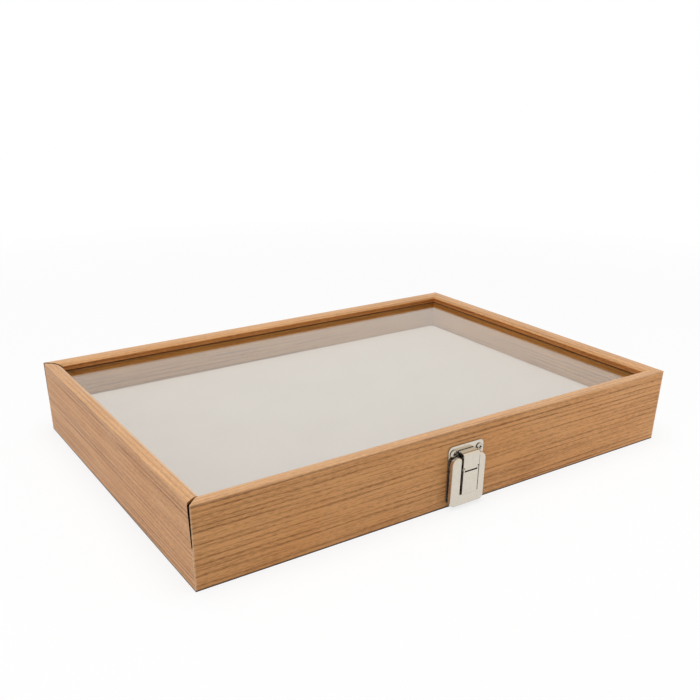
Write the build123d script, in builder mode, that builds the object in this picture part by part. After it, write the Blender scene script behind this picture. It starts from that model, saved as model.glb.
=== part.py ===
# Display case for enamel pins: a shallow wooden tray with a foam pad, under a hinged glass lid.
# Millimetres. X runs to the right along the front, Y to the back, Z up.
# The origin is the centre of the flat underside.

from build123d import *
from math import radians, sqrt, tan
import os

os.makedirs("parts", exist_ok=True)

# ---------------------------------------------------------------- driving dimensions

case_width = 350.0
case_depth = 243.0
case_height = 50.0
seam_height = 25.0          # where lid and base meet
seam_gap = 0.06
wall = 9.3                  # thickness of every rail and wall
arris_radius = 0.6          # wrapped outer edges
flat_top = 4.5              # the lid's rails are flat this far in, then rounded over
inner_edge_height = 48.0    # down to the edge round the glass
closed_mitre = (0.0, 0.0)
open_mitre_low = (1.2, 0.8)  # how far the left rail stops short, front and back, at the seam
open_mitre_high = (3.0, 1.6)  # and at its top

glass_thickness = 2.0
glass_top = 44.15
groove_depth = 3.6
groove_play = 0.1

bottom_thickness = 3.0
bottom_rebate = 5.0
pad_top = 23.7
pad_play = 0.3
cover_thickness = 0.6
cover_bevel = 1.5           # round its top

screw_shank_radius = 1.1
pilot_depth = 7.0

half_width = case_width / 2
half_depth = case_depth / 2
base_top = seam_height - seam_gap / 2
lid_bottom = seam_height + seam_gap / 2
inner_half_width = half_width - wall
inner_half_depth = half_depth - wall

# Draw latch, centred on the front. Its own distances are given from the front face outwards.
plate_thickness = 0.8
plate_width = 26.5
plate_corner = 3.0
plate_bottom = 3.0
plate_seam = 0.45           # each plate stops this far from the seam
catch_top = 39.8
slot_top = 36.7
screw_spacing = 9.9         # of the latch screws, either side of the centre
catch_screw_height = 35.4
base_screw_height = 7.0
screw_head_radius = 2.25
screw_head_height = 1.1
screw_head_bevel = 0.55     # round the head's rim

lever_pivot_out = 3.4
lever_pivot_height = 31.4
lever_pin_radius = 1.04
running_play = 0.06
lever_sheet = 1.0
lever_width = 25.4
lever_front = 5.5
lever_back = 2.1
lever_bottom = 1.5
lever_corner = 3.5
lever_shoulder = 4.5
lever_edge_radius = 1.8
lever_top = 33.5
lever_knuckle_radius = 1.9
knuckle_half = 10.2         # the knuckles end inside the tray's shoulders
knuckle_end_bevel = 0.9
window_half = 7.0
window_bottom = 9.6

hook_pivot_out = 5.1
hook_pivot_height = 25.6
hook_pin_radius = 0.45
hook_pin_play = 0.05
hook_pin_head = 0.3
hook_pin_rim = 0.33         # how far its heads reach over its shank
hook_sheet = 0.7
hook_half = 6.0
hook_knuckle_half = 4.75
hook_bend = 1.8
flange_back = 1.3
flange_back_height = 36.4
flange_slope = 8.0          # degrees, down towards the front
neck_play = 0.25            # between the neck's shoulders and the ears' eyes

tongue_front = 6.3
tongue_half = 5.7
tongue_step_low = 8.8       # the tongue steps forward between these heights
tongue_step_high = 10.2
tongue_gap = 1.45           # from the hook's pivot down to the tongue's edge
tongue_ear = 0.8
tongue_ear_low = 20.9
tongue_ear_high = 23.1
hook_knuckle_radius = tongue_front - hook_pivot_out

lip_half = 3.2
lip_sheet = 0.7
lip_back = 1.3
lip_top = 35.45
lip_chamfer = 0.35
slot_half = 3.5
lip_root = 30.6             # the lip leaves the plate between this height
lip_rise = 1.3              # and this much higher
lip_foot = 0.6
ear_inner = 3.6
ear_sheet = 0.8
ear_eye_radius = 1.8
ear_neck = 1.2              # half the ear's width where it meets its eye
ear_front = 3.1
ear_back = 1.4
ear_low = 12.0
ear_bend = 22.6
ear_straight = 27.2

# Butt hinges on the back
hinge_offset = 110.0        # of each hinge from the middle of the case
hinge_length = 25.0
hinge_sheet = 0.8
hinge_knuckle_radius = 1.8
hinge_pin_radius = 0.94
hinge_axis_out = 2.1        # from the back face
leaf_notch = 2.3            # a leaf is cut back this far beside the other's knuckles
leaf_reach = 11.0           # from the hinge axis to the leaf's far edge
knuckle_root = 1.0          # length of leaf that each knuckle's strap overlaps
leaf_screw_reach = 7.0
leaf_screw_spacing = 8.0
hinge_screw_head_radius = 1.95
knuckle_count = 3
knuckle_gap = 0.15

# Cross recesses of the screws
cross_width = 0.6
cross_length = 2.4
cross_depth = 0.7
hinge_cross_length = 2.0
hinge_cross_depth = 0.6

front_face = -half_depth
back_face = half_depth


def save(piece, name):
    """Label a finished piece and write it to its own file."""
    piece.part.label = name
    export_step(piece.part, f"parts/{name}.step")
    print(f"{name}: {len(piece.part.solids())} solid(s), {piece.part.volume:.1f} mm3")


def front_plane(out):
    """A plane parallel to the front face, `out` in front of it: local x is X, local y is Z."""
    return Plane(origin=(0, front_face - out, 0), x_dir=(1, 0, 0), z_dir=(0, -1, 0))


def back_plane(out):
    """A plane parallel to the back face, `out` behind it: local x is -X, local y is Z."""
    return Plane(origin=(0, back_face + out, 0), x_dir=(-1, 0, 0), z_dir=(0, 1, 0))


def side_plane(x):
    """A plane across the latch at X = x: local x is the distance out from the front, local y is Z."""
    return Plane(origin=(x, front_face, 0), x_dir=(0, -1, 0), z_dir=(-1, 0, 0))


# ---------------------------------------------------------------- rails and walls


groove_top = glass_top + groove_play
groove_bottom = glass_top - glass_thickness

round_run = wall - flat_top
round_drop = case_height - inner_edge_height
round_radius = (round_run**2 + round_drop**2) / (2 * round_drop)

# Section of a lid rail: x inwards from the outer face, y up, with the groove for the glass
with BuildSketch() as lid_section:
    with BuildLine():
        Line((0, lid_bottom), (0, case_height - arris_radius))
        RadiusArc((0, case_height - arris_radius), (arris_radius, case_height), arris_radius)
        Line((arris_radius, case_height), (flat_top, case_height))
        RadiusArc((flat_top, case_height), (wall, inner_edge_height), round_radius)
        Polyline(
            (wall, inner_edge_height),
            (wall, groove_top),
            (wall - groove_depth, groove_top),
            (wall - groove_depth, groove_bottom),
            (wall, groove_bottom),
            (wall, lid_bottom),
            (0, lid_bottom),
        )
    make_face()

# Section of a base wall, with the rebate for the bottom panel
with BuildSketch() as base_section:
    with BuildLine():
        Polyline(
            (0, 0),
            (0, base_top),
            (wall, base_top),
            (wall, bottom_thickness),
            (wall - bottom_rebate, bottom_thickness),
            (wall - bottom_rebate, 0),
            close=True,
        )
    make_face()


def rail_plane(side):
    """Plane of a rail's section, with local x inwards from that side's outer face and local y up."""
    planes = {
        "front": Plane(origin=(0, front_face, 0), x_dir=(0, 1, 0), z_dir=(1, 0, 0)),
        "back": Plane(origin=(0, back_face, 0), x_dir=(0, -1, 0), z_dir=(-1, 0, 0)),
        "left": Plane(origin=(-half_width, 0, 0), x_dir=(1, 0, 0), z_dir=(0, -1, 0)),
        "right": Plane(origin=(half_width, 0, 0), x_dir=(-1, 0, 0), z_dir=(0, 1, 0)),
    }
    return planes[side]


def mitred_corners(side, short_ends):
    """Plan of a mitred rail. A left rail's outer edge stops short by `short_ends`, front and back."""
    outlines = {
        "front": [(-1, -1, 0), (1, -1, 0), (1, -1, 1), (-1, -1, 1)],
        "back": [(1, 1, 0), (-1, 1, 0), (-1, 1, 1), (1, 1, 1)],
        "left": [(-1, 1, 0), (-1, -1, 0), (-1, -1, 1), (-1, 1, 1)],
        "right": [(1, -1, 0), (1, 1, 0), (1, 1, 1), (1, -1, 1)],
    }
    points = []
    for x_side, y_side, inner in outlines[side]:
        short = 0 if inner else short_ends[(y_side + 1) // 2]
        x = x_side * (half_width - inner * wall)
        y = y_side * (half_depth - inner * wall - short)
        points.append((x, y))
    return points


def make_rail(side, section, levels, screw_plane=None, screws=()):
    """A rail or wall: its section drawn along its side, mitred at both ends, with pilot holes.

    `levels` gives the heights between which it is mitred, and how open its ends are at each.
    """
    with BuildPart() as rail:
        with BuildSketch(rail_plane(side)):
            add(section)
        extrude(amount=half_width, both=True)
        with BuildPart(mode=Mode.INTERSECT):
            for height, short_ends in levels:
                with BuildSketch(Plane.XY.offset(height)):
                    with BuildLine():
                        Polyline(*mitred_corners(side, short_ends), close=True)
                    make_face()
            loft(ruled=True)
        if screws:
            with BuildSketch(screw_plane):
                with Locations(*screws):
                    Circle(screw_shank_radius)
            extrude(amount=-pilot_depth, mode=Mode.SUBTRACT)
    return rail


def leaf_screw_places(centre, up):
    """Centres of one leaf's screws on the back plane; `up` is 1 for the lid's leaf, -1 for the base's."""
    height = seam_height + up * leaf_screw_reach
    return [(-centre - leaf_screw_spacing, height), (-centre + leaf_screw_spacing, height)]


latch_lid_places = [(-screw_spacing, catch_screw_height), (screw_spacing, catch_screw_height)]
latch_base_places = [(-screw_spacing, base_screw_height), (screw_spacing, base_screw_height)]
hinge_lid_places = leaf_screw_places(-hinge_offset, 1) + leaf_screw_places(hinge_offset, 1)
hinge_base_places = leaf_screw_places(-hinge_offset, -1) + leaf_screw_places(hinge_offset, -1)

front = front_plane(0)
back = back_plane(0)
lid_levels = [(lid_bottom, closed_mitre), (case_height, closed_mitre)]
open_levels = [(lid_bottom, open_mitre_low), (case_height, open_mitre_high)]
lid_rail_front = make_rail("front", lid_section.sketch, lid_levels, front, latch_lid_places)
lid_rail_back = make_rail("back", lid_section.sketch, lid_levels, back, hinge_lid_places)
lid_rail_left = make_rail("left", lid_section.sketch, open_levels)
lid_rail_right = make_rail("right", lid_section.sketch, lid_levels)
save(lid_rail_front, "lid_rail_front")
save(lid_rail_back, "lid_rail_back")
save(lid_rail_left, "lid_rail_left")
save(lid_rail_right, "lid_rail_right")

base_levels = [(0, closed_mitre), (base_top, closed_mitre)]
base_wall_front = make_rail("front", base_section.sketch, base_levels, front, latch_base_places)
base_wall_back = make_rail("back", base_section.sketch, base_levels, back, hinge_base_places)
base_wall_left = make_rail("left", base_section.sketch, base_levels)
base_wall_right = make_rail("right", base_section.sketch, base_levels)
save(base_wall_front, "base_wall_front")
save(base_wall_back, "base_wall_back")
save(base_wall_left, "base_wall_left")
save(base_wall_right, "base_wall_right")

# ---------------------------------------------------------------- glass, bottom and pad

pane_edge = groove_depth - 2 * groove_play
with BuildPart() as glass_pane:
    with BuildSketch(Plane.XY.offset(glass_top - glass_thickness)):
        Rectangle(2 * (inner_half_width + pane_edge), 2 * (inner_half_depth + pane_edge))
    extrude(amount=glass_thickness)
save(glass_pane, "glass_pane")

with BuildPart() as bottom_panel:
    panel_edge = bottom_rebate - groove_play
    with BuildSketch(Plane.XY):
        Rectangle(2 * (inner_half_width + panel_edge), 2 * (inner_half_depth + panel_edge))
    extrude(amount=bottom_thickness)
save(bottom_panel, "bottom_panel")


def pad_block(inset):
    """A block smaller all round and lower by `inset` than the pad, with bevelled top edges."""
    width = 2 * (inner_half_width - pad_play - inset)
    depth = 2 * (inner_half_depth - pad_play - inset)
    with BuildPart() as block:
        with BuildSketch(Plane.XY.offset(bottom_thickness)):
            Rectangle(width, depth)
        extrude(amount=pad_top - bottom_thickness - inset)
        chamfer(block.edges().group_by(Axis.Z)[-1], cover_bevel - inset * (2 - sqrt(2)))
    return block


foam_pad = pad_block(cover_thickness)
save(foam_pad, "foam_pad")

with BuildPart() as pad_cover:
    add(pad_block(0).part)
    add(foam_pad.part, mode=Mode.SUBTRACT)
save(pad_cover, "pad_cover")

# ---------------------------------------------------------------- screws


def raised_screws(plane, places):
    """Raised cross-head screws: heads stand on the plane, shanks go back through a plate into the wood."""
    with BuildPart() as screws:
        with BuildSketch(plane):
            with Locations(*places):
                Circle(screw_shank_radius)
        extrude(amount=-(pilot_depth + plate_thickness))
        with BuildSketch(plane):
            with Locations(*places):
                Circle(screw_head_radius)
        extrude(amount=screw_head_height)
        chamfer(screws.edges().group_by(Axis.Y)[0], screw_head_bevel)
        with BuildSketch(plane.offset(screw_head_height)):
            with Locations(*places):
                Rectangle(cross_length, cross_width)
                Rectangle(cross_width, cross_length)
        extrude(amount=-cross_depth, mode=Mode.SUBTRACT)
    return screws


catch_plate_screws = raised_screws(front_plane(plate_thickness), latch_lid_places)
save(catch_plate_screws, "catch_plate_screws")

latch_base_screws = raised_screws(front_plane(plate_thickness), latch_base_places)
save(latch_base_screws, "latch_base_screws")

# ---------------------------------------------------------------- latch: catch plate on the lid


def plate_outline(low, high, rounded_end):
    """Outline of a latch plate, with the two corners of one end rounded; x is X and y is Z."""
    with BuildSketch() as outline:
        with Locations((0, (low + high) / 2)):
            Rectangle(plate_width, high - low)
        ends = {"top": -1, "bottom": 0}
        fillet(outline.vertices().group_by(Axis.Y)[ends[rounded_end]], plate_corner)
    return outline.sketch


with BuildPart() as catch_plate:
    with BuildSketch(front_plane(0)):
        add(plate_outline(seam_height + plate_seam, catch_top, "top"))
        with Locations((0, (lip_root + slot_top) / 2)):
            Rectangle(2 * slot_half, slot_top - lip_root, mode=Mode.SUBTRACT)
        with Locations(*latch_lid_places):
            Circle(screw_shank_radius, mode=Mode.SUBTRACT)
    extrude(amount=plate_thickness)
    # The lip is struck from the slot: out over the plate's face, then up to the hook.
    with BuildSketch(side_plane(lip_half)):
        with BuildLine():
            lip_front = lip_back + lip_sheet
            Polyline(
                (0, lip_root - lip_foot),
                (plate_thickness, lip_root - lip_foot),
                (plate_thickness, lip_root),
                (lip_front, lip_root + lip_rise),
                (lip_front, lip_top - lip_chamfer),
                (lip_front - lip_chamfer, lip_top),
                (lip_back, lip_top),
                (lip_back, lip_root + lip_rise + lip_chamfer),
                (0, lip_root + lip_foot),
                close=True,
            )
        make_face()
    extrude(amount=2 * lip_half)
save(catch_plate, "catch_plate")

# ---------------------------------------------------------------- latch: base plate and its pin

base_plate_top = seam_height - plate_seam
with BuildPart() as latch_base_plate:
    with BuildSketch(front_plane(0)):
        add(plate_outline(plate_bottom, base_plate_top, "bottom"))
        with Locations((0, (ear_low + base_plate_top) / 2)):
            Rectangle(2 * ear_inner, base_plate_top - ear_low, mode=Mode.SUBTRACT)
        with Locations(*latch_base_places):
            Circle(screw_shank_radius, mode=Mode.SUBTRACT)
    extrude(amount=plate_thickness)
    # Two ears are folded out of the notch and reach over the seam to the lever's pin.
    for ear_right_face in (-ear_inner, ear_inner + ear_sheet):
        with BuildSketch(side_plane(ear_right_face)):
            with BuildLine():
                Polyline(
                    (0, ear_low),
                    (plate_thickness, ear_low),
                    (ear_front, ear_bend),
                    (ear_front, ear_straight),
                    (lever_pivot_out + ear_neck, lever_pivot_height - ear_neck),
                    (lever_pivot_out, lever_pivot_height),
                    (lever_pivot_out - ear_neck, lever_pivot_height - ear_neck),
                    (ear_back, ear_straight),
                    (ear_back, base_plate_top),
                    (0, base_plate_top),
                    close=True,
                )
            make_face()
            with Locations((lever_pivot_out, lever_pivot_height)):
                Circle(ear_eye_radius)
                Circle(lever_pin_radius, mode=Mode.SUBTRACT)
        extrude(amount=ear_sheet)
save(latch_base_plate, "latch_base_plate")

with BuildPart() as lever_pin:
    with BuildSketch(side_plane(knuckle_half)):
        with Locations((lever_pivot_out, lever_pivot_height)):
            Circle(lever_pin_radius)
    extrude(amount=2 * knuckle_half)
save(lever_pin, "lever_pin")

# ---------------------------------------------------------------- latch: lever

# The arms end in knuckles rolled round the pin, with bevelled outer ends.
with BuildPart() as knuckle_rod:
    with BuildSketch(side_plane(knuckle_half)):
        with Locations((lever_pivot_out, lever_pivot_height)):
            Circle(lever_knuckle_radius)
    extrude(amount=2 * knuckle_half)
    chamfer(knuckle_rod.edges().filter_by(GeomType.CIRCLE), knuckle_end_bevel)


def tray_outline(inset):
    """Outline of the lever's tray, or of its hollow where it is set in; x is X and y is Z."""
    with BuildSketch() as outline:
        with Locations((0, (lever_bottom + lever_top) / 2)):
            Rectangle(lever_width - 2 * inset, lever_top - lever_bottom - 2 * inset)
        fillet(outline.vertices().group_by(Axis.Y)[0], lever_corner - inset)
        fillet(outline.vertices().group_by(Axis.Y)[-1], lever_shoulder - inset)
    return outline.sketch


with BuildPart() as latch_lever:
    # Pressed tray, open at the back, with rounded front edges and shoulders
    with BuildSketch(front_plane(lever_back)):
        add(tray_outline(0))
    tray = extrude(amount=lever_front - lever_back)
    fillet(tray.faces().sort_by(Axis.Y)[0].edges(), lever_edge_radius)
    with BuildSketch(front_plane(lever_back)):
        add(tray_outline(lever_sheet))
    extrude(amount=lever_front - lever_back - lever_sheet, mode=Mode.SUBTRACT)
    add(knuckle_rod.part)
    # Window between the arms
    with BuildSketch(front_plane(0)):
        with Locations((0, (window_bottom + case_height) / 2)):
            Rectangle(2 * window_half, case_height - window_bottom)
    extrude(amount=tongue_front, mode=Mode.SUBTRACT)
    # Tongue: steps forward out of the crossbar and stops below the hook's knuckle
    with BuildSketch(side_plane(tongue_half)):
        tongue_back = tongue_front - lever_sheet
        tongue_top = hook_pivot_height - tongue_gap
        with BuildLine():
            Polyline(
                (lever_front - lever_sheet, tongue_step_low),
                (lever_front, tongue_step_low),
                (tongue_front, tongue_step_high),
                (tongue_front, tongue_top),
                (tongue_back, tongue_top),
                (tongue_back, window_bottom + lever_sheet),
                (lever_front - lever_sheet, window_bottom),
                close=True,
            )
        make_face()
    extrude(amount=2 * tongue_half)
    # Ears folded back from the tongue's edges carry the hook's pin.
    for ear_right_face in (tongue_half, -tongue_half + tongue_ear):
        with BuildSketch(side_plane(ear_right_face)):
            ear_edge = hook_pivot_out - hook_knuckle_radius
            with BuildLine():
                Polyline(
                    (tongue_front, tongue_ear_low),
                    (tongue_front, hook_pivot_height),
                    (ear_edge, hook_pivot_height),
                    (ear_edge, tongue_ear_high),
                    (tongue_back, tongue_ear_low),
                    close=True,
                )
            make_face()
            with Locations((hook_pivot_out, hook_pivot_height)):
                Circle(hook_knuckle_radius)
                Circle(hook_pin_radius, mode=Mode.SUBTRACT)
        extrude(amount=tongue_ear)
    # Bore for the lever's pin, through both knuckles
    with BuildSketch(side_plane(knuckle_half)):
        with Locations((lever_pivot_out, lever_pivot_height)):
            Circle(lever_pin_radius + running_play)
    extrude(amount=2 * knuckle_half, mode=Mode.SUBTRACT)
save(latch_lever, "latch_lever")

with BuildPart() as hook_pin:
    with BuildSketch(side_plane(tongue_half)):
        with Locations((hook_pivot_out, hook_pivot_height)):
            Circle(hook_pin_radius)
    extrude(amount=2 * tongue_half)
    for end, way in ((tongue_half, -1), (-tongue_half, 1)):
        with BuildSketch(side_plane(end)):
            with Locations((hook_pivot_out, hook_pivot_height)):
                Circle(hook_pin_radius + hook_pin_rim)
        extrude(amount=way * hook_pin_head)
save(hook_pin, "hook_pin")

# ---------------------------------------------------------------- latch: draw hook

flange_front_height = flange_back_height - (tongue_front - flange_back) * tan(radians(flange_slope))
with BuildPart() as draw_hook:
    with BuildSketch(side_plane(hook_half)):
        with BuildLine():
            FilletPolyline(
                (tongue_front, hook_pivot_height),
                (tongue_front, flange_front_height),
                (flange_back, flange_back_height),
                radius=hook_bend,
            )
            offset(amount=hook_sheet, side=Side.LEFT)
        make_face()
    extrude(amount=2 * hook_half)
    # The lower end is narrower and rolled round the hook's pin.
    neck_height = hook_knuckle_radius + neck_play
    for neck_side in (-1, 1):
        with BuildSketch(front_plane(0)):
            neck_middle = neck_side * (hook_half + hook_knuckle_half) / 2
            with Locations((neck_middle, hook_pivot_height + neck_height / 2)):
                Rectangle(hook_half - hook_knuckle_half, neck_height)
        extrude(amount=tongue_front, mode=Mode.SUBTRACT)
    with BuildSketch(side_plane(hook_knuckle_half)):
        with Locations((hook_pivot_out, hook_pivot_height)):
            Circle(hook_knuckle_radius)
            Circle(hook_pin_radius + hook_pin_play, mode=Mode.SUBTRACT)
    extrude(amount=2 * hook_knuckle_half)
save(draw_hook, "draw_hook")

# ---------------------------------------------------------------- hinges


def knuckle_spans(first):
    """X spans of every second knuckle of a hinge, starting from knuckle number `first`."""
    pitch = hinge_length / knuckle_count
    spans = []
    for number in range(first, knuckle_count, 2):
        low = -hinge_length / 2 + number * pitch + knuckle_gap / 2
        spans.append((low, low + pitch - knuckle_gap))
    return spans


def hinge_plane(x):
    """A plane across a hinge at X = x: local x is the distance out from the back face, local y is Z."""
    return Plane(origin=(x, back_face, 0), x_dir=(0, 1, 0), z_dir=(1, 0, 0))


def countersinks(places):
    """The countersunk cones of a leaf's screws, wide at the leaf's outer face."""
    with BuildPart() as cones:
        for x, z in places:
            with BuildSketch(back_plane(0)):
                with Locations((x, z)):
                    Circle(screw_shank_radius)
            with BuildSketch(back_plane(hinge_sheet)):
                with Locations((x, z)):
                    Circle(hinge_screw_head_radius)
            loft()
    return cones


def hinge_leaf(centre, up, spans, bore_radius):
    """A leaf on the back face: a flat sheet with rolled knuckles. `up` is 1 for the lid, -1 for the base."""
    near = seam_height + up * leaf_notch
    far = seam_height + up * leaf_reach
    strap_length = leaf_notch + knuckle_root
    with BuildPart() as leaf:
        with BuildSketch(back_plane(0)):
            with Locations((-centre, (near + far) / 2)):
                Rectangle(hinge_length, abs(far - near))
        extrude(amount=hinge_sheet)
        for low, high in spans:
            with BuildSketch(hinge_plane(centre + low)):
                with Locations((hinge_sheet / 2, seam_height + up * strap_length / 2)):
                    Rectangle(hinge_sheet, strap_length)
                with Locations((hinge_axis_out, seam_height)):
                    Circle(hinge_knuckle_radius)
            extrude(amount=high - low)
        with BuildSketch(hinge_plane(centre - hinge_length / 2)):
            with Locations((hinge_axis_out, seam_height)):
                Circle(bore_radius)
        extrude(amount=hinge_length, mode=Mode.SUBTRACT)
        add(countersinks(leaf_screw_places(centre, up)).part, mode=Mode.SUBTRACT)
    return leaf


def hinge_screws(centre, up):
    """Two countersunk screws, flush with a leaf."""
    places = leaf_screw_places(centre, up)
    with BuildPart() as screws:
        add(countersinks(places).part)
        with BuildSketch(back_plane(0)):
            with Locations(*places):
                Circle(screw_shank_radius)
        extrude(amount=-pilot_depth)
        with BuildSketch(back_plane(hinge_sheet)):
            with Locations(*places):
                Rectangle(hinge_cross_length, cross_width)
                Rectangle(cross_width, hinge_cross_length)
        extrude(amount=-hinge_cross_depth, mode=Mode.SUBTRACT)
    return screws


def hinge_pin(centre):
    """The hinge's pin, as long as its row of knuckles."""
    with BuildPart() as pin:
        with BuildSketch(hinge_plane(centre - hinge_length / 2)):
            with Locations((hinge_axis_out, seam_height)):
                Circle(hinge_pin_radius)
        extrude(amount=hinge_length)
    return pin


for hinge_name, centre in (("hinge_left", -hinge_offset), ("hinge_right", hinge_offset)):
    base_leaf = hinge_leaf(centre, -1, knuckle_spans(0), hinge_pin_radius)
    lid_leaf = hinge_leaf(centre, 1, knuckle_spans(1), hinge_pin_radius + running_play)
    save(base_leaf, f"{hinge_name}_base_leaf")
    save(lid_leaf, f"{hinge_name}_lid_leaf")
    save(hinge_pin(centre), f"{hinge_name}_pin")
    save(hinge_screws(centre, 1), f"{hinge_name}_lid_screws")
    save(hinge_screws(centre, -1), f"{hinge_name}_base_screws")
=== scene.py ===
# Looks of a shallow display case with a hinged glass lid, a draw latch and a velvet pad.
# Metres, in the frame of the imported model: X right, Y back, Z up.

import math

import bmesh
import bpy
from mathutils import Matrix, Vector, noise


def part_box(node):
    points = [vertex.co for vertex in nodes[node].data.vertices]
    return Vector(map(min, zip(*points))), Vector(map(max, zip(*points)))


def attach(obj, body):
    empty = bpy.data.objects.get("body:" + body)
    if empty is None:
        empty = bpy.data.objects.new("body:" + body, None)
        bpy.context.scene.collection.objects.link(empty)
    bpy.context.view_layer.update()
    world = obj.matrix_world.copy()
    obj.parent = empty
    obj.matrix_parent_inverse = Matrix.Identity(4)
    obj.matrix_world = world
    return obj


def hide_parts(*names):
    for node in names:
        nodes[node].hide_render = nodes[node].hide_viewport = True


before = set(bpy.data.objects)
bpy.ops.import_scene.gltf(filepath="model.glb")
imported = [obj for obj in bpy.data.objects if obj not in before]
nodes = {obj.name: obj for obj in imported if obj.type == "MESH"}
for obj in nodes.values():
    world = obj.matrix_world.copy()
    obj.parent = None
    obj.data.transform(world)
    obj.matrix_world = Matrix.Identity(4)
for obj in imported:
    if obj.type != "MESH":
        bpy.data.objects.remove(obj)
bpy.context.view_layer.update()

MM = 0.001

# ---------------------------------------------------------------- camera

# Place, direction and lens are solved from the perspective of the case's eight outer corners.
FRAME_PIXELS = 700
FOCAL_PIXELS = 848.6
PRINCIPAL_X = 324.6
PRINCIPAL_Y = 464.6
SENSOR_WIDTH = 36.0
CAMERA_AZIMUTH = math.radians(32.534)
CAMERA_ELEVATION = math.radians(26.275)
CAMERA_PLACE = Vector((-0.3117, -0.4567, 0.2478))

camera_data = bpy.data.cameras.new("camera")
camera = bpy.data.objects.new("camera", camera_data)
bpy.context.scene.collection.objects.link(camera)
forward = Vector(
    (
        math.sin(CAMERA_AZIMUTH) * math.cos(CAMERA_ELEVATION),
        math.cos(CAMERA_AZIMUTH) * math.cos(CAMERA_ELEVATION),
        -math.sin(CAMERA_ELEVATION),
    )
)
camera.location = CAMERA_PLACE
camera.rotation_mode = "QUATERNION"
camera.rotation_quaternion = forward.to_track_quat("-Z", "Y")
camera_data.sensor_width = SENSOR_WIDTH
camera_data.lens = FOCAL_PIXELS / FRAME_PIXELS * SENSOR_WIDTH
camera_data.shift_x = (FRAME_PIXELS / 2 - PRINCIPAL_X) / FRAME_PIXELS
camera_data.shift_y = (PRINCIPAL_Y - FRAME_PIXELS / 2) / FRAME_PIXELS
camera_data.clip_start = 0.02
camera_data.clip_end = 20.0
bpy.context.scene.camera = camera

bpy.context.scene.view_settings.view_transform = "Standard"


# ---------------------------------------------------------------- node helpers


class Nodes:
    """A node tree, with short calls for the nodes that the materials and the world share."""

    def __init__(self, tree):
        self.tree = tree

    def add(self, kind, **settings):
        node = self.tree.nodes.new(kind)
        for key, value in settings.items():
            setattr(node, key, value)
        return node

    def link(self, source, target):
        self.tree.links.new(source, target)

    def feed(self, target, value):
        """Link a socket, or set a plain value."""
        if isinstance(value, bpy.types.NodeSocket):
            self.link(value, target)
        else:
            target.default_value = value

    def math(self, operation, *values):
        node = self.add("ShaderNodeMath", operation=operation)
        for target, value in zip(node.inputs, values):
            self.feed(target, value)
        return node.outputs[0]

    def fold(self, operation, value, *others):
        for other in others:
            value = self.math(operation, value, other)
        return value

    def plus(self, *values):
        return self.fold("ADD", *values)

    def times(self, *values):
        return self.fold("MULTIPLY", *values)

    def most(self, *values):
        return self.fold("MAXIMUM", *values)

    def size(self, value):
        return self.math("ABSOLUTE", value)

    def mix(self, share, first, second):
        """Mix two shaders."""
        node = self.add("ShaderNodeMixShader")
        self.link(share, node.inputs[0])
        self.link(first, node.inputs[1])
        self.link(second, node.inputs[2])
        return node.outputs[0]

    def seen_by(self, *kinds):
        """1 for rays of these kinds that have not met a matt surface, and 0 for others."""
        path = self.add("ShaderNodeLightPath").outputs
        unscattered = self.math("LESS_THAN", path["Diffuse Depth"], 0.5)
        return self.times(self.most(*[path[kind] for kind in kinds]), unscattered)


class Material(Nodes):
    """A material around one Principled shader."""

    def __init__(self, name):
        self.material = bpy.data.materials.new(name)
        self.material.use_nodes = True
        super().__init__(self.material.node_tree)
        self.shader = self.tree.nodes["Principled BSDF"]
        self.output = self.tree.nodes["Material Output"]
        coordinates = self.add("ShaderNodeTexCoord").outputs
        self.place = coordinates["Object"]
        self.normal = coordinates["Normal"]

    def noise(self, per_metre, offset=(0, 0, 0), detail=2.0, roughness=0.5):
        """Noise with this many features per metre: one number, or one for each axis."""
        if not isinstance(per_metre, (tuple, list)):
            per_metre = [per_metre] * 3
        scaled = self.add("ShaderNodeMapping")
        self.link(self.place, scaled.inputs["Vector"])
        scaled.inputs["Scale"].default_value = per_metre
        scaled.inputs["Location"].default_value = offset
        node = self.add("ShaderNodeTexNoise")
        self.link(scaled.outputs["Vector"], node.inputs["Vector"])
        node.inputs["Scale"].default_value = 1.0
        node.inputs["Detail"].default_value = detail
        node.inputs["Roughness"].default_value = roughness
        return node.outputs[0]

    def span(self, value, low, high, to_low=0.0, to_high=1.0):
        """Map low..high to to_low..to_high, clamped."""
        node = self.add("ShaderNodeMapRange")
        self.link(value, node.inputs["Value"])
        node.inputs["From Min"].default_value = low
        node.inputs["From Max"].default_value = high
        node.inputs["To Min"].default_value = to_low
        node.inputs["To Max"].default_value = to_high
        return node.outputs["Result"]

    def spread(self, value, to_low=0.0, to_high=1.0):
        """Map 0.3..0.7, where most of a noise lies, to to_low..to_high."""
        return self.span(value, 0.3, 0.7, to_low, to_high)

    def nearing(self, value, limit, start, full):
        """0 where the value is `start` short of the limit, rising to 1 at `full` short of it."""
        return self.span(value, limit - start, limit - full)

    def blend(self, share, first, second, blend_type="MIX"):
        """Mix two colours."""
        node = self.add("ShaderNodeMix", data_type="RGBA", blend_type=blend_type)
        self.feed(node.inputs[0], share)
        self.feed(node.inputs[6], first)
        self.feed(node.inputs[7], second)
        return node.outputs[2]

    def bump(self, height, distance, strength):
        """Bump of the given depth in metres."""
        node = self.add("ShaderNodeBump")
        node.inputs["Strength"].default_value = strength
        node.inputs["Distance"].default_value = distance
        self.link(height, node.inputs["Height"])
        return node.outputs["Normal"]

    def axes(self, vector):
        node = self.add("ShaderNodeSeparateXYZ")
        self.link(vector, node.inputs[0])
        return node.outputs

    def set(self, **values):
        """Set the shader's sockets by name, with _ for a space."""
        for key, value in values.items():
            self.feed(self.shader.inputs[key.replace("_", " ")], value)


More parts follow.
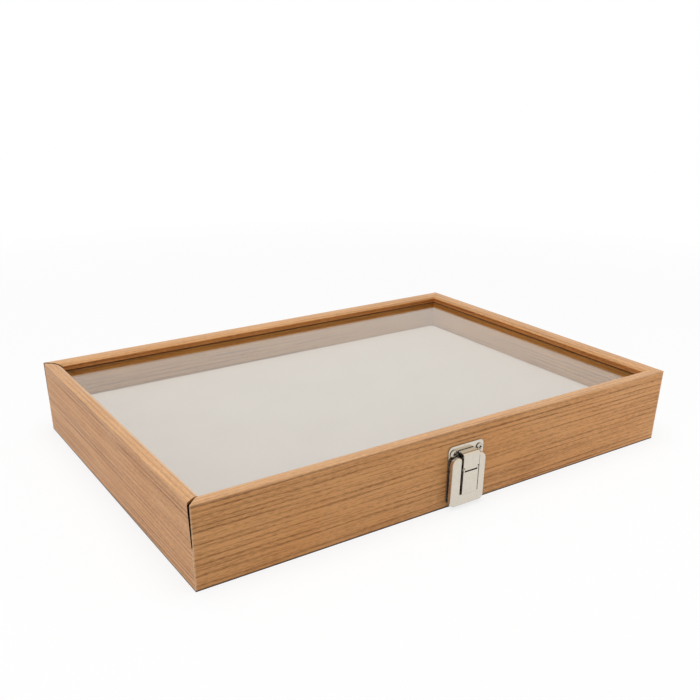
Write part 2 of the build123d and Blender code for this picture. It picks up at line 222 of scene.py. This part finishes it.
def colour(red, green, blue):
    """An sRGB colour, 0 to 255, as linear RGBA."""
    linear = []
    for channel in (red, green, blue):
        share = channel / 255
        linear.append(share / 12.92 if share <= 0.04045 else ((share + 0.055) / 1.055) ** 2.4)
    return (*linear, 1.0)


def grey(level):
    """A linear grey."""
    return (level, level, level, 1.0)


WHITE = grey(1.0)

# ---------------------------------------------------------------- wood film

FILM_LIGHT = colour(210, 153, 95)
FILM_WARM = colour(205, 143, 80)
FILM_DARK = colour(134, 83, 36)
FILM_SHEEN_AND_WEAR = colour(233, 212, 186)
DARK_MITRE_AND_SEAM_SHADOW = colour(60, 35, 17)
CONTACT_SHADOW = colour(46, 34, 24)
JOINT_SHADOW = colour(70, 42, 20)
BOARD_DARK = colour(136, 102, 70)
BOARD_LIGHT = colour(158, 122, 86)

# Painted shade on the film of the inner faces, below and above the glass, as a factor for each
# channel
SHADE_BELOW_GLASS = (0.80, 0.70, 0.26, 1.0)
SHADE_ABOVE_GLASS = (1.04, 0.82, 0.62, 1.0)

# Growth lines: their pitch, and how many pitches they drift and tremble
GRAIN_PITCH = 3.0 * MM
GRAIN_DRIFT = 3.4
GRAIN_TREMOR = 0.7

# How much each layer of the print darkens the film, from its faintest to its strongest
LINES_DARKEN = (0.14, 0.58)
FIBRES_DARKEN = (-0.22, 0.46)
BANDS_DARKEN = (-0.02, 0.12)
TICKS_DARKEN = (-0.30, 0.26)

# Painted sheen and highlights, and wear: how strong each is, and how far from an edge it starts
# and is full
TOP_SHEEN = 0.16
CORNERS_WORN = 0.3
INNER_EDGE_HIGHLIGHT = 0.6
TOP_EDGE_REACH = (2.0 * MM, 0.3 * MM)
OUTER_EDGE_REACH = (1.8 * MM, 0.6 * MM)
CORNER_WEAR = (1.0 * MM, 0.5 * MM)
INNER_HIGHLIGHT_REACH = (3.2 * MM, 0.8 * MM)
INNER_HIGHLIGHT_LEVEL = (2.4 * MM, 1.9 * MM)

# Painted shadow lines, and the dark mitres and bare underside: half widths, fades and levels
HALVES_BLEND = 10.0 * MM
GLASS_BLEND = 0.1 * MM
JOINT_HALF = 0.25 * MM
JOINT_FADE = 0.3 * MM
JOINT_STRENGTH = 0.85
CONTACT_SHADOW_HEIGHT = 1.0 * MM
CONTACT_SHADOW_FULL = 0.5 * MM
SEAM_HALF = 0.9 * MM
SEAM_FADE = 0.3 * MM
SEAM_LEVEL = 46.0 * MM
SEAM_LEVEL_FADE = 0.5 * MM
TURNED_IN = 1.2 * MM
UNDERSIDE_LEVEL = 1.0 * MM

front_low, front_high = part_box("lid_rail_front")
half_width, half_depth, case_top = front_high[0], -front_low[1], front_high[2]
rail_width = front_high[1] - front_low[1]
glass_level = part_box("glass_pane")[1][2]


class Film(Material):
    """The film, and where each point of it lies. `along` is the grain's axis: 0 for X, 1 for Y."""

    def __init__(self, name, along):
        super().__init__(name)
        self.along = along
        self.x, self.y, self.level = self.axes(self.place)
        self.facing_x, self.facing_y, self.facing_up = self.axes(self.normal)
        self.side = self.size(self.x)
        self.end = self.size(self.y)
        self.across = (self.y, self.x)[along]
        self.inner_edge = (half_depth, half_width)[along] - rail_width

    def printed(self, long_way, cross_way, offset=(0, 0, 0), **settings):
        """Noise with this many features per metre along the grain, and across it."""
        per_metre = [cross_way] * 3
        per_metre[self.along] = long_way
        return self.noise(per_metre, offset, **settings)

    def before_zero(self, value):
        """1 on the front or left half of the case, and 0 on the other."""
        return self.span(value, -HALVES_BLEND, 0.0, 1.0, 0.0)


def grain(m):
    """How dark the print is, and its fibres."""
    # Growth lines about a pitch apart, that drift and tremble, some strong and some faint
    drift = m.printed(1.6, 45, detail=1)
    tremor = m.printed(12, 330, detail=1)
    pitches = m.plus(
        m.times(m.plus(m.level, m.across), 1 / GRAIN_PITCH),
        m.times(drift, GRAIN_DRIFT),
        m.times(tremor, GRAIN_TREMOR),
    )
    ring = m.math("COSINE", m.times(pitches, 2 * math.pi))
    strength = m.printed(5, 210, (2, 4, 6), detail=1)
    lines = m.times(m.span(ring, 0.0, 1.0), m.span(strength, 0.38, 0.62, *LINES_DARKEN))

    bands = m.printed(3, 70)
    ticks = m.printed(300, 1800, (6, 1, 3))
    fibres = m.printed(20, 900, (3, 5, 7), detail=4, roughness=0.65)
    dark = m.plus(
        lines,
        m.spread(fibres, *FIBRES_DARKEN),
        m.spread(bands, *BANDS_DARKEN),
        m.spread(ticks, *TICKS_DARKEN),
    )
    return m.span(dark, 0.0, 1.0), fibres


def pale_sheen_and_wear(m):
    """How much paler the film is: painted sheen on upward faces, painted highlights along the top
    edges, with wear on the outer ones, and wear at the corners.
    """
    # Painted highlight and wear along the outer top edges.
    top = m.times(m.nearing(m.level, case_top, *TOP_EDGE_REACH), TOP_SHEEN)
    outer = m.most(
        m.nearing(m.side, half_width, *OUTER_EDGE_REACH),
        m.nearing(m.end, half_depth, *OUTER_EDGE_REACH),
    )
    corner = m.times(
        m.nearing(m.side, half_width, *CORNER_WEAR),
        m.nearing(m.end, half_depth, *CORNER_WEAR),
        CORNERS_WORN,
    )
    # Painted highlight along the inner top edge of the front and left rails.
    inner = m.times(
        m.nearing(m.across, -m.inner_edge, *INNER_HIGHLIGHT_REACH),
        m.before_zero(m.across),
        m.nearing(m.level, case_top, *INNER_HIGHLIGHT_LEVEL),
        INNER_EDGE_HIGHLIGHT,
    )
    # Painted sheen: faces that look up are paler.
    upward = m.span(m.facing_up, 0.6, 0.95, 0.0, TOP_SHEEN)
    return m.most(m.times(top, outer), corner, inner, upward)


def shaded_inside(m, film):
    """The film with painted shade on the inner faces, and a painted shadow line on them where they
    meet the glass.
    """
    outwards = m.add("ShaderNodeVectorMath", operation="DOT_PRODUCT")
    m.link(m.normal, outwards.inputs[0])
    m.link(m.place, outwards.inputs[1])
    inner = m.span(outwards.outputs["Value"], -0.08, -0.09)
    above = m.nearing(m.level, glass_level, GLASS_BLEND, 0.0)
    # Painted shade: the film of the inner faces is darkened, below the glass and above it.
    shaded = m.blend(1.0, film, m.blend(above, SHADE_BELOW_GLASS, SHADE_ABOVE_GLASS), "MULTIPLY")
    # Painted shadow line on the inner faces, just above the glass.
    off_joint = m.size(m.math("SUBTRACT", m.level, glass_level + JOINT_HALF))
    line = m.span(off_joint, JOINT_HALF, JOINT_HALF + JOINT_FADE, JOINT_STRENGTH, 0.0)
    return m.blend(inner, film, shaded), m.times(inner, line)


def back_left_seam_shadow(m):
    """A painted shadow line along the mitre of the lid's back left corner, which has opened."""
    off_mitre = m.math("SUBTRACT", m.math("SUBTRACT", m.side, m.end), half_width - half_depth)
    return m.times(
        m.span(m.size(off_mitre), SEAM_HALF, SEAM_HALF + SEAM_FADE, 1.0, 0.0),
        m.span(m.y, 0.0, HALVES_BLEND),
        m.before_zero(m.x),
        m.span(m.level, SEAM_LEVEL, SEAM_LEVEL + SEAM_LEVEL_FADE),
    )


def mitre_faces(m):
    """The faces of the mitres. At the front, the film is turned in over their top edge."""
    diagonal = m.size(m.times(m.facing_x, m.facing_y))
    turned_in = m.times(m.before_zero(m.y), TURNED_IN)
    below_turned_in = m.math("LESS_THAN", m.plus(m.level, turned_in), case_top)
    return m.times(m.span(diagonal, 0.3, 0.4), below_turned_in)


def wood_film(name, along):
    """Printed film, paler with painted sheen, highlights and wear, darker with painted shade, over
    board that is bare below and dark at the mitres.
    """
    m = Film(name, along)
    dark, fibres = grain(m)
    mottle = m.noise(22)
    film = m.blend(m.span(mottle, 0.35, 0.7, 0.0, 0.7), FILM_LIGHT, FILM_WARM)
    film = m.blend(dark, film, FILM_DARK)
    film = m.blend(pale_sheen_and_wear(m), film, FILM_SHEEN_AND_WEAR)

    film, joint_shadow = shaded_inside(m, film)
    # Painted shadow line where the inner faces meet the glass.
    film = m.blend(joint_shadow, film, JOINT_SHADOW)
    # Painted contact shadow along the bottom edge.
    film = m.blend(m.span(m.level, CONTACT_SHADOW_FULL, CONTACT_SHADOW_HEIGHT, 1.0, 0.0), film, CONTACT_SHADOW)
    seam_shadow = back_left_seam_shadow(m)
    # Painted shadow line in the opened back left mitre.
    film = m.blend(seam_shadow, film, DARK_MITRE_AND_SEAM_SHADOW)

    below = m.times(
        m.span(m.facing_up, -0.7, -0.8),
        m.math("LESS_THAN", m.level, UNDERSIDE_LEVEL),
    )
    bare_board = m.blend(m.spread(m.noise(900, detail=3)), BOARD_DARK, BOARD_LIGHT)
    finish = m.blend(below, film, bare_board)
    mitre = mitre_faces(m)
    # The mitre faces are dark, except where the film is turned in over their top edge at the
    # front.
    finish = m.blend(mitre, finish, DARK_MITRE_AND_SEAM_SHADOW)

    m.set(
        Base_Color=finish,
        Roughness=m.spread(fibres, 0.36, 0.48),
        Specular_IOR_Level=m.span(m.most(mitre, seam_shadow, joint_shadow), 0.0, 1.0, 0.3, 0.05),
        Normal=m.bump(dark, 0.04 * MM, 0.7),
    )
    return m.material


# ---------------------------------------------------------------- other materials

HOLLOW_SHADE = colour(40, 34, 28)
CREVICE_REACH = 3.0 * MM
HAZED = 0.86
MARKED = 0.05
GLASS_BODY = (0.975, 0.992, 0.985, 1.0)
GLASS_SHADOW = (0.955, 0.965, 0.96, 1.0)
HARDBOARD_LIGHT = colour(126, 88, 55)
HARDBOARD_DARK = colour(92, 62, 38)


def nickel(name, tint, roughness, shut=0.12, bare=0.7):
    """Polished plate: nearly even, with faint handling marks and a slow ripple from pressing.

    Painted shade darkens its colour in crevices, as the open share of its surroundings falls from
    `bare` to `shut`.
    """
    m = Material(name)
    haze = m.noise(420, detail=4)
    hairs = m.noise((2400, 300, 500))
    ripple = m.noise(150, detail=1)
    hazed = (*[channel * HAZED for channel in tint[:3]], 1.0)
    # Painted shade: ambient occlusion mixes the colour towards a dark brown in crevices.
    crevice_shade = m.add("ShaderNodeAmbientOcclusion", samples=8)
    crevice_shade.inputs["Distance"].default_value = CREVICE_REACH
    m.set(
        Base_Color=m.blend(
            m.span(crevice_shade.outputs["AO"], shut, bare),
            HOLLOW_SHADE,
            m.blend(m.span(haze, 0.35, 0.75, 0.0, 0.35), tint, hazed),
        ),
        Metallic=0.88,
        Roughness=m.plus(
            m.spread(haze, roughness - MARKED, roughness + MARKED),
            m.span(hairs, 0.62, 0.75, 0.0, MARKED),
        ),
        Normal=m.bump(ripple, 0.05 * MM, 0.5),
    )
    return m.material


def clear_glass():
    """Sheet glass with a faint green body and a trace of wiping marks; lamps shine through it."""
    m = Material("clear_glass")
    wiped = m.noise((14, 40, 20), detail=4, roughness=0.65)
    m.set(
        Base_Color=GLASS_BODY,
        Roughness=m.span(wiped, 0.35, 0.75, 0.0, 0.018),
        IOR=1.5,
        Transmission_Weight=1.0,
    )
    lamplight = m.add("ShaderNodeBsdfTransparent")
    lamplight.inputs["Color"].default_value = GLASS_SHADOW
    is_shadow = m.add("ShaderNodeLightPath").outputs["Is Shadow Ray"]
    pane = m.mix(is_shadow, m.shader.outputs[0], lamplight.outputs[0])
    m.link(pane, m.output.inputs["Surface"])
    return m.material


def velvet(name, base, deep):
    """Short-pile cloth: fine pile, and slow patches where it lies another way."""
    m = Material(name)
    tufts = m.noise(2600, detail=3, roughness=0.7)
    lay = m.noise((28, 45, 30), detail=3)
    threads = m.noise((700, 1500, 1500))
    shade = m.plus(m.spread(tufts, 0.0, 0.45), m.span(lay, 0.35, 0.7, 0.0, 0.3))
    m.set(
        Base_Color=m.blend(m.span(shade, 0.0, 1.0), base, deep),
        Roughness=m.spread(lay, 0.86, 0.98),
        Specular_IOR_Level=0.25,
        Sheen_Weight=0.25,
        Sheen_Roughness=0.4,
        Normal=m.bump(m.plus(tufts, m.times(threads, 0.6)), 0.06 * MM, 0.7),
    )
    return m.material


def hardboard():
    """Brown pressed board: smooth, with short fibres."""
    m = Material("bottom_board")
    fibres = m.noise((500, 1600, 900), detail=4, roughness=0.7)
    clouds = m.noise(40, detail=3)
    shade = m.plus(m.spread(fibres, 0.0, 0.6), m.spread(clouds, 0.0, 0.4))
    m.set(
        Base_Color=m.blend(shade, HARDBOARD_LIGHT, HARDBOARD_DARK),
        Roughness=m.spread(clouds, 0.38, 0.52),
        Specular_IOR_Level=0.4,
        Normal=m.bump(fibres, 0.04 * MM, 0.5),
    )
    return m.material


film_across = wood_film("wood_grain_film_x", 0)
film_deep = wood_film("wood_grain_film_y", 1)
bright = nickel("bright_nickel", colour(216, 208, 194), 0.12)
screw_metal = nickel("nickel_screws", colour(206, 199, 186), 0.20, shut=0.45, bare=0.95)
pin_metal = nickel("steel_pins", colour(208, 204, 198), 0.3)
pad_cloth = velvet("pad_cloth", colour(226, 216, 210), colour(215, 205, 199))
glass = clear_glass()
board = hardboard()


def dress(name, material):
    slots = nodes[name].data.materials
    slots.clear()
    slots.append(material)


for part in ("lid_rail_", "base_wall_"):
    dress(part + "front", film_across)
    dress(part + "back", film_across)
    dress(part + "left", film_deep)
    dress(part + "right", film_deep)
dress("glass_pane", glass)
dress("bottom_panel", board)
for name in ("catch_plate", "latch_base_plate", "latch_lever", "draw_hook"):
    dress(name, bright)
for name in ("catch_plate_screws", "latch_base_screws"):
    dress(name, screw_metal)
for name in ("lever_pin", "hook_pin"):
    dress(name, pin_metal)
for hinge in ("hinge_left", "hinge_right"):
    dress(hinge + "_lid_leaf", bright)
    dress(hinge + "_base_leaf", bright)
    dress(hinge + "_lid_screws", screw_metal)
    dress(hinge + "_base_screws", screw_metal)
    dress(hinge + "_pin", pin_metal)

# ---------------------------------------------------------------- the pad

# Mesh step, radius of the rolled edges, fall of the crown, draw of the sides, and a slow wave
PAD_STEP = 4.0 * MM
PAD_ROLL = 3.0 * MM
PAD_CROWN = 0.25 * MM
PAD_DRAW = 0.5 * MM
PAD_WAVE = 0.09 * MM
WAVES_PER_METRE = 38
DRAW_POWER = 8


def cut_block(size):
    """A closed block from -1 to 1 on each axis, cut finely enough for a pad of this size."""
    block = bmesh.new()
    bmesh.ops.create_cube(block, size=2.0)
    for axis in range(3):
        cuts = max(4, round(size[axis] / PAD_STEP)) - 1
        edges = [
            edge
            for edge in block.edges
            if abs((edge.verts[0].co - edge.verts[1].co)[axis]) > 1e-6
        ]
        bmesh.ops.subdivide_edges(block, edges=edges, cuts=cuts, use_grid_fill=True)
    return block


def rolled(place, half):
    """A point of the plain block, moved onto the block with rolled edges."""
    core = Vector(
        [max(PAD_ROLL - half[i], min(half[i] - PAD_ROLL, place[i])) for i in range(3)]
    )
    over = place - core
    if over.length > 0:
        return core + over.normalized() * PAD_ROLL
    return place


def rounded_pad(name, low, high):
    """A closed pad whose edges roll over, with sides drawn in between the corners."""
    middle = (low + high) / 2
    half = (high - low) / 2
    mesh = cut_block(high - low)
    for vertex in mesh.verts:
        place = rolled(Vector([vertex.co[i] * half[i] for i in range(3)]), half)
        u, v = place.x / half.x, place.y / half.y
        drawn = PAD_DRAW * (1 - abs(place.z) / half.z)
        place.x -= math.copysign(drawn * (1 - v * v), place.x) * abs(u) ** DRAW_POWER
        place.y -= math.copysign(drawn * (1 - u * u), place.y) * abs(v) ** DRAW_POWER
        if place.z > 0:
            wave = noise.noise(Vector((place.x * WAVES_PER_METRE, place.y * WAVES_PER_METRE, 4.0)))
            place.z -= PAD_CROWN * (1 - (1 - u**4) * (1 - v**4)) + PAD_WAVE * (1 + wave)
        vertex.co = place + middle
    bmesh.ops.recalc_face_normals(mesh, faces=mesh.faces)
    data = bpy.data.meshes.new(name)
    mesh.to_mesh(data)
    mesh.free()
    data.polygons.foreach_set("use_smooth", [True] * len(data.polygons))
    piece = bpy.data.objects.new(name, data)
    bpy.context.scene.collection.objects.link(piece)
    return piece


pad_low, pad_high = (Vector(corner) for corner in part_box("pad_cover"))
pad = rounded_pad("velvet_pad", pad_low, pad_high)
pad.data.materials.append(pad_cloth)
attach(pad, "base")
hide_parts("foam_pad", "pad_cover")

# ---------------------------------------------------------------- floor

FLOOR_RADIUS = 1.6
FLOOR_DROP = 0.05 * MM
FLOOR_ALBEDO = 0.90
FLOOR_SPECKLE = 0.99
FLOOR_WASH = 0.80
WASH_NEAR = 0.30
WASH_FAR = 0.85

floor_mesh = bmesh.new()
bmesh.ops.create_circle(floor_mesh, cap_ends=True, segments=96, radius=FLOOR_RADIUS)
floor_data = bpy.data.meshes.new("floor")
floor_mesh.to_mesh(floor_data)
floor_mesh.free()
floor = bpy.data.objects.new("floor", floor_data)
floor.location.z = -FLOOR_DROP
bpy.context.scene.collection.objects.link(floor)

# Matt paper, washed with plain white for the camera, the mirrors and the glass: partly around
# the case, where its shadow shows, and wholly further out.
paper = Material("floor")
speckle = paper.noise(60, detail=3)
paper.set(
    Base_Color=paper.blend(speckle, grey(FLOOR_ALBEDO * FLOOR_SPECKLE), grey(FLOOR_ALBEDO)),
    Roughness=0.9,
    Specular_IOR_Level=0.1,
)
plain_white = paper.add("ShaderNodeEmission")
plain_white.inputs["Strength"].default_value = 1.0
far = paper.add("ShaderNodeVectorMath", operation="LENGTH")
paper.link(paper.place, far.inputs[0])
washed = paper.times(
    paper.span(far.outputs["Value"], WASH_NEAR, WASH_FAR, FLOOR_WASH, 1.0),
    paper.seen_by("Is Camera Ray", "Is Glossy Ray", "Is Transmission Ray"),
)
surface = paper.mix(washed, paper.shader.outputs[0], plain_white.outputs[0])
paper.link(surface, paper.output.inputs["Surface"])
floor_data.materials.append(paper.material)

# ---------------------------------------------------------------- backdrop and lamps

WORLD_STRENGTH = 0.35
BACKDROP_MIRRORED = 1.0
BACKDROP_SEEN = 1.0
MIRRORED_WARMTH = (1.0, 0.965, 0.90, 1.0)
CASE_MIDDLE = (0, 0, 0.03)

world = bpy.data.worlds.new("studio")
bpy.context.scene.world = world
world.use_nodes = True
sky = Nodes(world.node_tree)


def background(node, tint, strength):
    node.inputs["Color"].default_value = tint
    node.inputs["Strength"].default_value = strength
    return node.outputs[0]


ambient = background(sky.tree.nodes["Background"], WHITE, WORLD_STRENGTH)
mirrored = background(sky.add("ShaderNodeBackground"), MIRRORED_WARMTH, BACKDROP_MIRRORED)
seen = background(sky.add("ShaderNodeBackground"), WHITE, BACKDROP_SEEN)
around = sky.mix(sky.seen_by("Is Glossy Ray", "Is Transmission Ray"), ambient, mirrored)
whole = sky.mix(sky.seen_by("Is Camera Ray"), around, seen)
sky.link(whole, sky.tree.nodes["World Output"].inputs["Surface"])


def soft_box(name, place, target, size, irradiance):
    """A square lamp. Its irradiance at the target is a share of what a plain white world gives.

    It is hidden from mirrored and transmitted rays: its light passes the glass as shadow rays.
    """
    towards = Vector(target) - Vector(place)
    data = bpy.data.lights.new(name, "AREA")
    data.shape = "SQUARE"
    data.size = size
    data.energy = irradiance * math.pi**2 * towards.length**2
    lamp = bpy.data.objects.new(name, data)
    lamp.location = place
    lamp.rotation_mode = "QUATERNION"
    lamp.rotation_quaternion = towards.to_track_quat("-Z", "Y")
    lamp.visible_glossy = False
    lamp.visible_transmission = False
    bpy.context.scene.collection.objects.link(lamp)


soft_box("overhead", (-0.10, -0.09, 1.25), CASE_MIDDLE, size=0.9, irradiance=0.82)
soft_box("left_fill", (-1.20, 0.0, 0.40), CASE_MIDDLE, size=0.6, irradiance=0.14)
soft_box("front_fill", (0.46, -0.40, 0.08), (0.18, -0.12, 0.01), size=0.32, irradiance=0.41)
